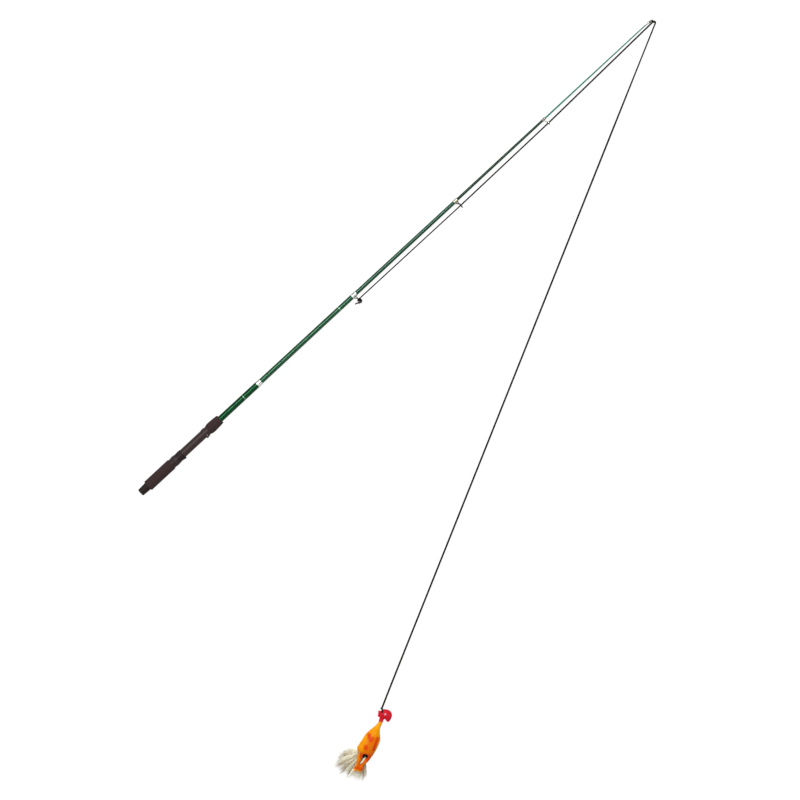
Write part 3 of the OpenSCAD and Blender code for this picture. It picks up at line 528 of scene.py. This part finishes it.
TOES = [[(135, -6, 15, 2.8), (139.5, -8.4, 14.6, 1.9), (142.6, -9.2, 13.4, 1.3)],
        [(137, -5, 15, 3), (143.4, -5.8, 15, 2), (147.4, -6, 13.6, 1.3)],
        [(137, -3.6, 15, 2.8), (142.6, -1.2, 15, 1.9), (146.4, -0.6, 13.8, 1.3)],
        [(134, 2.6, 15, 2.8), (139.4, 1.8, 15.4, 1.9), (143.4, 2.4, 14.2, 1.3)],
        [(134.6, 4, 15, 2.8), (140.4, 6, 15, 1.9), (144.2, 6.8, 13.8, 1.3)],
        [(133, 5, 15, 2.6), (136.8, 7.6, 14.6, 1.8), (139.6, 8.4, 13.6, 1.2)]]
WINGS = [[(58, -4, 21.5, 3), (68, -9, 24, 4.4), (80, -12.4, 23, 4.6), (90, -15.6, 19.6, 3.2),
          (96.5, -18.4, 16.4, 1.6)],
         [(58, 13.5, 21, 2.8), (68, 16.4, 22.6, 3.8), (78, 17.4, 21.6, 3.8), (86, 17.4, 19, 2.6),
          (93, 18, 16, 1.4)]]
# Each roll of clay with its number of steps and its thickness
SHAPES = [(NECK, 6, 1), (FACE, 6, 1), (LEFT_LEG, 6, 1), (RIGHT_LEG, 6, 1)]
SHAPES += [(tooth, 6, 0.8) for tooth in COMB]
SHAPES += [(toe, 5, 1) for toe in TOES]
SHAPES += [(wing, 5, 0.8) for wing in WINGS]
# Opening over the squeaker, where the legs part: middle and half sizes. Its walls are painted very dark, as
# painted shade inside the hole.
OPENING = (106.6, 3, 24.5), (5.4, 5.6, 12)
# Strokes of orange: strength, start, end and radius. The first three are airbrushed spot marks; the one along
# the right wing and the two beside the crotch are painted shade.
SPOTS_AND_SHADE_STROKES = [
    (0.9, (61.5, -5.5), (70, 1.5), 6.5), (0.75, (69.5, 3), (64, 5), 5.5), (0.85, (86.5, -3.2), (89, -2.4), 7),
    (0.9, (62, 13.6), (86, 14.8), 5), (0.85, (105, -6), (113, -5.5), 5.5), (0.9, (103, 10.5), (114, 11), 6.5),
]


def clay_chicken():
    """Lumps of clay run together by a remesh, smoothed like a soft casting, with the opening cut out."""
    ring_half, ring_steps = 5, 14
    lumps = [((t, (left + right) / 2, (low + high) / 2), (ring_half, (right - left) / 2, (high - low) / 2))
             for t, left, right, low, high in smooth_row(BODY_RINGS, ring_steps)]
    for row, steps, flat in SHAPES:
        lumps += roll(row, steps, flat)
    clay = clay_pile("rubber_chicken", lumps)
    remesh = clay.modifiers.new("cast", "REMESH")
    remesh.mode = "VOXEL"
    remesh.voxel_size = 0.8 * MM
    bpy.ops.object.modifier_apply(modifier="cast")
    soften = clay.modifiers.new("soften", "SMOOTH")
    soften.factor = 0.5
    soften.iterations = 8
    bpy.ops.object.modifier_apply(modifier="soften")
    bpy.ops.object.select_all(action="DESELECT")
    middle, half = OPENING
    bpy.ops.mesh.primitive_uv_sphere_add(segments=32, ring_count=20, radius=1, location=Vector(middle) * MM,
                                         scale=Vector(half) * MM)
    cutter = bpy.context.object
    bpy.ops.object.select_all(action="DESELECT")
    clay.select_set(True)
    bpy.context.view_layer.objects.active = clay
    cut = clay.modifiers.new("opening", "BOOLEAN")
    cut.operation = "DIFFERENCE"
    cut.object = cutter
    bpy.ops.object.modifier_apply(modifier="opening")
    bpy.data.objects.remove(cutter)
    bpy.ops.object.shade_smooth()
    return clay


def ease(value, start, end):
    """0 before start, 1 after end, smooth between. Start may be above end."""
    u = min(max((value - start) / (end - start), 0), 1)
    return u * u * (3 - 2 * u)


def stroke(t, w, start, end, radius):
    """Stroke from start to end, for airbrushed spot marks and painted shade: 1 in its middle and 0 past its
    radius.
    """
    along = Vector((end[0] - start[0], end[1] - start[1]))
    rel = Vector((t - start[0], w - start[1]))
    u = min(max(rel.dot(along) / max(along.length_squared, 1e-9), 0), 1)
    return ease((rel - along * u).length, radius, radius * 0.25)


def airbrush(chicken):
    """Paint masks by place: red head, orange spot marks and legs with painted shade by the wing and crotch,
    painted shade in the opening, and yellow toward the neck, with painted light on the sides and a painted
    highlight at the toe tips.
    """
    layer = chicken.data.color_attributes.new("paint", "FLOAT_COLOR", "POINT")
    yellow_and_painted_light = chicken.data.color_attributes.new("yellow_and_painted_light", "FLOAT_COLOR", "POINT")
    middle, half = OPENING
    for vertex, dot, yellow_and_light in zip(chicken.data.vertices, layer.data, yellow_and_painted_light.data):
        t, w, z = vertex.co / MM
        red = ease(t + 0.25 * (w - 8), 31, 25)
        spots_and_shade = max(strength * stroke(t, w, *line) for strength, *line in SPOTS_AND_SHADE_STROKES)
        legs = 0.3 * ease(t, 92, 112) * ease(t, 145, 138)
        feet = 0.7 * ease(t, 133, 137) * ease(t, 145, 139)
        # Very dark on the opening's walls: painted shade inside the hole into the hollow body
        inside = math.sqrt(sum(((a - m) / h) ** 2 for a, m, h in zip((t, w, z), middle, half)))
        hole_shade = ease(inside, 1.07, 1.01)
        # Yellow toward the neck is the skin's own colour; yellower along both sides is painted light, and at
        # the toe tips a painted highlight
        yellow_with_painted_light = max(ease(t, 78, 38), 0.8 * ease(w, 0, -12), 0.6 * ease(w, 17, 20), ease(t, 138, 144))
        dot.color = (red, max(spots_and_shade, legs, feet), hole_shade, 1)
        yellow_and_light.color = (yellow_with_painted_light, 0, 0, 1)


def rubber_material():
    """Latex, cast and airbrushed: soft gloss, a little light through it, and skin bumps 2 mm apart."""
    material, shader = new_material("airbrushed_latex", Roughness=0.5, Specular_IOR_Level=0.06,
                                    Coat_Weight=0.05, Coat_Roughness=0.2, Subsurface_Weight=0.08,
                                    Subsurface_Scale=2 * MM, Subsurface_Radius=(1, 0.4, 0.1))
    place = add_node(material, "TexCoord")
    cloud = add_node(material, "TexNoise", {"Scale": 1 / (14 * MM), "Detail": 3},
                     {"Vector": place.outputs["Object"]})
    yellow_and_light = add_node(material, "VertexColor", {"layer_name": "yellow_and_painted_light"})
    layers = add_node(material, "SeparateColor", None, {0: yellow_and_light.outputs["Color"]})
    patchy = add_node(material, "Math", {"operation": "MULTIPLY_ADD", 1: 0.7, 2: -0.35},
                      {0: cloud.outputs["Fac"]})
    share = add_node(material, "Math", {"operation": "ADD", "use_clamp": True},
                     {0: layers.outputs["Red"], 1: patchy.outputs[0]})
    # Orange to yellow by that mask and a cloud: painted light along the sides and a painted highlight at the
    # toe tips
    skin = add_node(material, "Mix",
                    {"data_type": "RGBA", MIX_A: hex_colour("#d96c00"), MIX_B: hex_colour("#eb9e00")},
                    {0: share.outputs[0]})
    paint = add_node(material, "VertexColor", {"layer_name": "paint"})
    masks = add_node(material, "SeparateColor", None, {0: paint.outputs["Color"]})
    # Orange of the spot marks and legs, and painted shade along the right wing and beside the crotch
    orange_and_shade = add_node(material, "Mix", {"data_type": "RGBA", MIX_B: hex_colour("#d43a00")},
                      {0: masks.outputs["Green"], MIX_A: skin.outputs[MIX_OUT]})
    red = add_node(material, "Mix", {"data_type": "RGBA", MIX_B: hex_colour("#c9182a")},
                   {0: masks.outputs["Red"], MIX_A: orange_and_shade.outputs[MIX_OUT]})
    # Very dark on the opening's walls: painted shade inside the hole
    hole_shade = add_node(material, "Mix", {"data_type": "RGBA", MIX_B: hex_colour("#0c0a09")},
                     {0: masks.outputs["Blue"], MIX_A: red.outputs[MIX_OUT]})
    material.node_tree.links.new(hole_shade.outputs[MIX_OUT], shader.inputs["Base Color"])
    pimples = add_node(material, "TexVoronoi", {"Scale": 1 / (2 * MM), "feature": "SMOOTH_F1"},
                       {"Vector": place.outputs["Object"]})
    relief = add_node(material, "Bump", {"Strength": 0.18, "Distance": 0.4 * MM, "invert": True},
                      {"Height": pimples.outputs["Distance"]})
    material.node_tree.links.new(relief.outputs["Normal"], shader.inputs["Normal"])
    return material


chicken = clay_chicken()
airbrush(chicken)
chicken.data.transform(toy_lie)
chicken.data.materials.append(rubber_material())
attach(chicken, "toy")
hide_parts("toy_head", "toy_body", "toy_legs")


# Eyes, one on each side of the head: flattened balls with a dark pupil. Enamel, brushed on: smooth and shiny.
eye_white, eye_shader = new_material("painted_eye", Roughness=0.25)
mottle(eye_white, eye_shader, "#cf808a", "#dca2a8", 1 * MM, 0.05, 0.05 * MM)
EYE_R = 2.6 * MM
EYE_FLAT = 0.55
PUPIL_FROM = 0.96
EYE_PLACE = 8.2, 11
for name, height, turn in (("eye_up", 20.5, 0), ("eye_down", 1.5, math.pi)):
    bpy.ops.object.select_all(action="DESELECT")
    bpy.ops.mesh.primitive_uv_sphere_add(segments=24, ring_count=14, radius=EYE_R, location=(0, 0, 0))
    eye = bpy.context.object
    eye.name = name
    eye.data.materials.append(eye_white)
    eye.data.materials.append(reed_black)
    bpy.ops.object.mode_set(mode="EDIT")
    bpy.ops.transform.resize(value=(1, 1, EYE_FLAT))
    bpy.ops.object.mode_set(mode="OBJECT")
    for face in eye.data.polygons:
        face.material_index = 1 if face.center.z > PUPIL_FROM * EYE_FLAT * EYE_R else 0
    eye_lie = Matrix.Translation(Vector((*EYE_PLACE, height)) * MM) @ Matrix.Rotation(turn, 4, "X")
    eye.data.transform(toy_lie @ eye_lie)
    bpy.ops.object.shade_smooth()
    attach(eye, "toy")


# Hair tail

# Reach of the hair, in millimetres, by its direction from the toy's axis, in degrees
HAIR_REACH = [(-87, 23), (-80, 32), (-73, 40), (-68, 45), (-59, 51), (-51, 59), (-44, 66), (-32, 66),
              (-20, 63), (-10, 61), (0, 61), (10, 63), (19, 61), (26, 50)]
# Directions that the fan covers, and the row of its roots on the rump: along the toy, across it, and middle
FAN_FROM, FAN_SWEEP = -84, 110
ROOT_T, ROOT_FROM, ROOT_SWEEP = 103, -11, 12
HAIR_MIDDLE = -5


def hair_reach(lean):
    """Reach at a direction, between the two nearest that are given."""
    for (a, near), (b, far) in zip(HAIR_REACH, HAIR_REACH[1:]):
        if lean <= b:
            return near + (far - near) * max(lean - a, 0) / (b - a)
    return HAIR_REACH[-1][1]


def hair_tail():
    """Loose goat hair: locks of tapered hairs that fan out from the rump and lie on the floor. A hair is
    drawn about 0.6 mm thick so that it shows. Its tone goes by direction, for light and dark strands."""
    pick = random.Random(11)
    locks, hairs_in_lock, steps, sides = 120, 9, 5, 3
    streaks = [pick.choice((0.15, 0.45, 0.7, 0.9, 1, 1)) for _ in range(34)]
    vertices, faces, tones = [], [], []

    def hair(root, angle, curl, length, end_z, radius, shade):
        """One hair from its root, which bends by curl, comes to end_z and thins towards its end."""
        up = Vector((0, 0, 1))
        base = len(vertices)
        spot = root.copy()
        for i in range(steps + 1):
            u = i / steps
            ahead = Vector((math.cos(angle + curl * u), math.sin(angle + curl * u), 0))
            if i:
                spot = spot + ahead * (length / steps)
            spot.z = root.z + (end_z - root.z) * u
            thin = radius * (1 - 0.75 * u * u)
            side = Vector((-ahead.y, ahead.x, 0))
            for k in range(sides):
                turn = 2 * math.pi * k / sides
                vertices.append((spot + thin * (math.cos(turn) * side + math.sin(turn) * up)) * MM)
                tones.append((shade, u, 0, 1))
        for i in range(steps):
            for k in range(sides):
                a, n = base + i * sides, (k + 1) % sides
                faces.append((a + k, a + n, a + sides + n, a + sides + k))
        faces.append([base + k for k in range(sides - 1, -1, -1)])
        faces.append([base + steps * sides + k for k in range(sides)])

    for lock in range(locks):
        spread = (lock + pick.uniform(0.1, 0.9)) / locks
        lean = FAN_FROM + FAN_SWEEP * spread ** 0.95
        reach = hair_reach(lean) * pick.uniform(0.9, 1.06)
        tone = streaks[int(spread * len(streaks))]
        root_w = ROOT_FROM + ROOT_SWEEP * spread
        lock_z, lock_end_z = pick.uniform(2.6, 6.8), pick.uniform(1, 4.2)
        bend = pick.uniform(-1.5, 1.5)
        reach -= (root_w - HAIR_MIDDLE) * math.sin(math.radians(lean))
        for _ in range(hairs_in_lock):
            root = Vector((ROOT_T + pick.uniform(0, 5), root_w + pick.gauss(0, 0.9),
                           lock_z + pick.uniform(-0.8, 0.8)))
            angle = math.radians(lean - bend / 2 + pick.gauss(0, 0.8))
            curl = math.radians(bend + pick.gauss(0, 0.8))
            hair(root, angle, curl, reach * pick.uniform(0.84, 1.02), lock_end_z + pick.uniform(-0.5, 0.5),
                 pick.uniform(0.24, 0.38), min(max(tone + pick.gauss(0, 0.1), 0), 1))
    # A lock that comes up in the gap between the legs
    gap_hairs, gap_lean, gap_radius = 40, -14, 0.4
    for _ in range(gap_hairs):
        root = Vector((109 + pick.uniform(0, 3), 4.6 + pick.gauss(0, 0.8), pick.uniform(17, 20)))
        hair(root, math.radians(gap_lean + pick.gauss(0, 2)), 0, pick.uniform(13, 18), pick.uniform(17, 20),
             gap_radius, 1)
    mesh = bpy.data.meshes.new("hair_tail")
    mesh.from_pydata(vertices, [], faces)
    layer = mesh.color_attributes.new("strand", "FLOAT_COLOR", "POINT")
    for dot, tone in zip(layer.data, tones):
        dot.color = tone
    mesh.transform(toy_lie)
    mesh.shade_smooth()
    tail = bpy.data.objects.new("hair_tail", mesh)
    bpy.context.collection.objects.link(tail)
    return tail


def hair_material():
    """Undyed goat hair: cream to tan from strand to strand, browner at the root, with a soft sheen."""
    material, shader = new_material("goat_hair", Roughness=0.6, Sheen_Weight=0.5)
    strand = add_node(material, "VertexColor", {"layer_name": "strand"})
    parts = add_node(material, "SeparateColor", None, {0: strand.outputs["Color"]})
    hair = add_node(material, "Mix",
                    {"data_type": "RGBA", MIX_A: hex_colour("#b69a66"), MIX_B: hex_colour("#fffce4")},
                    {0: parts.outputs["Red"]})
    root = add_node(material, "MapRange", {"From Min": 0.22, "From Max": 0.0, "To Max": 0.5},
                    {"Value": parts.outputs["Green"]})
    both = add_node(material, "Mix", {"data_type": "RGBA", MIX_B: hex_colour("#9a7d5c")},
                    {0: root.outputs["Result"], MIX_A: hair.outputs[MIX_OUT]})
    material.node_tree.links.new(both.outputs[MIX_OUT], shader.inputs["Base Color"])
    return material


tail = hair_tail()
tail.data.materials.append(hair_material())
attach(tail, "toy")
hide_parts("toy_tail")


# Finishes of the CAD pieces that stay

finishes = {
    foam: ["rear_grip", "fore_grip"],
    nylon: ["reel_seat", "front_hood"],
    hood_nylon: ["sliding_hood"],
    abs_plastic: ["seat_nut"],
    vinyl: ["butt_cap"],
    rivet_steel: ["hood_rivets"],
    green_butt: ["butt_blank"],
    green_second: ["blank_2"],
    green_third: ["blank_3"],
    green_fourth: ["blank_4"],
    turquoise: ["tip_blank"],
    bright_alu: ["butt_ferrule", "ferrule_2"],
    champagne: ["ferrule_3"],
    grey_alu: ["ferrule_4"],
    bright_alu_thin: ["tip_tube", "guide_4"],
    bronze: ["guide_2"],
    black_nickel: ["guide_3"],
    ceramic: ["guide_2_ring", "guide_3_ring", "guide_4_ring", "tip_ring"],
    reed_black: ["toy_squeaker"],
}
for material, nodes in finishes.items():
    for node in nodes:
        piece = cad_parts[node]
        piece.data.materials.clear()
        piece.data.materials.append(material)
